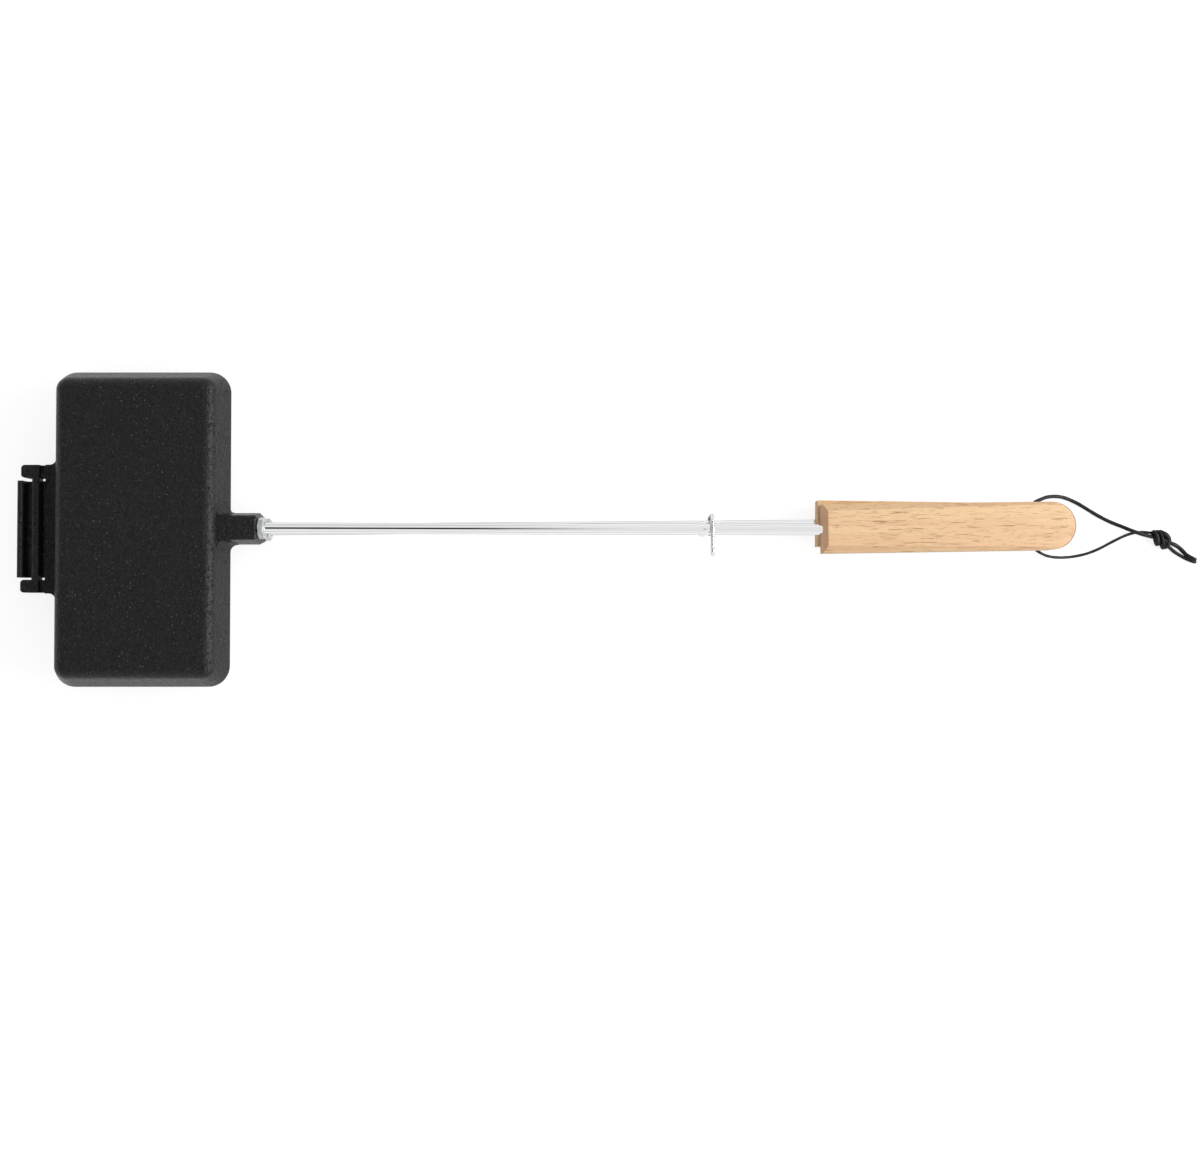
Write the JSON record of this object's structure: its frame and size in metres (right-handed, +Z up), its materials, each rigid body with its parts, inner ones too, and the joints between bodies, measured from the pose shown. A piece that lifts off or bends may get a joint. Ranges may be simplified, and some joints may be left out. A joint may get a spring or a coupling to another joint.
{
  "type": "pie iron",
  "caption": "Long-handled cast iron pie iron: two rectangular half pans on a slip hinge, steel rods with wooden half handles, a wire latch and a leather hanging lace.",
  "frame": {"origin": "middle of the flat bottom of the lower pan, which the closed iron rests on", "axes": "+X along the rods from the pans to the handles, +Z up from the lower to the upper half, +Y across the rods, on the side of the latch's leg"},
  "size_m": [0.7906, 0.209, 0.042],
  "materials": {
    "cast_iron": "raw sand-cast iron, black and matt",
    "rod_steel": "bright plated steel rod",
    "nut_zinc": "bright zinc plating",
    "latch_steel": "bright plated wire",
    "handle_wood": "pale oiled hardwood with fine brown pores",
    "lace_leather": "black leather lace"
  },
  "bodies": {
    "lower": {"lower_pan": "cast_iron", "lower_rod": "rod_steel", "lower_nut": "nut_zinc", "lower_handle": "handle_wood", "lace_loop": "lace_leather", "lace_knot": "lace_leather", "lace_tail_long": "lace_leather", "lace_tail_short": "lace_leather"},
    "upper": {"upper_pan": "cast_iron", "upper_rod": "rod_steel", "upper_nut": "nut_zinc", "upper_handle": "handle_wood"},
    "latch": {"latch_wire": "latch_steel"}
  },
  "joints": [
    {"name": "lid_hinge", "type": "hinge", "parent": "lower", "child": "upper", "pos_m": [-0.06935, 0, 0.021], "axis": [0, -1, 0], "range_deg": [0, 105]},
    {"name": "latch_swing", "type": "hinge", "parent": "lower", "child": "latch", "pos_m": [0.3771, 0.00265, 0.0122], "axis": [-1, 0, 0], "range_deg": [0, 100]}
  ]
}
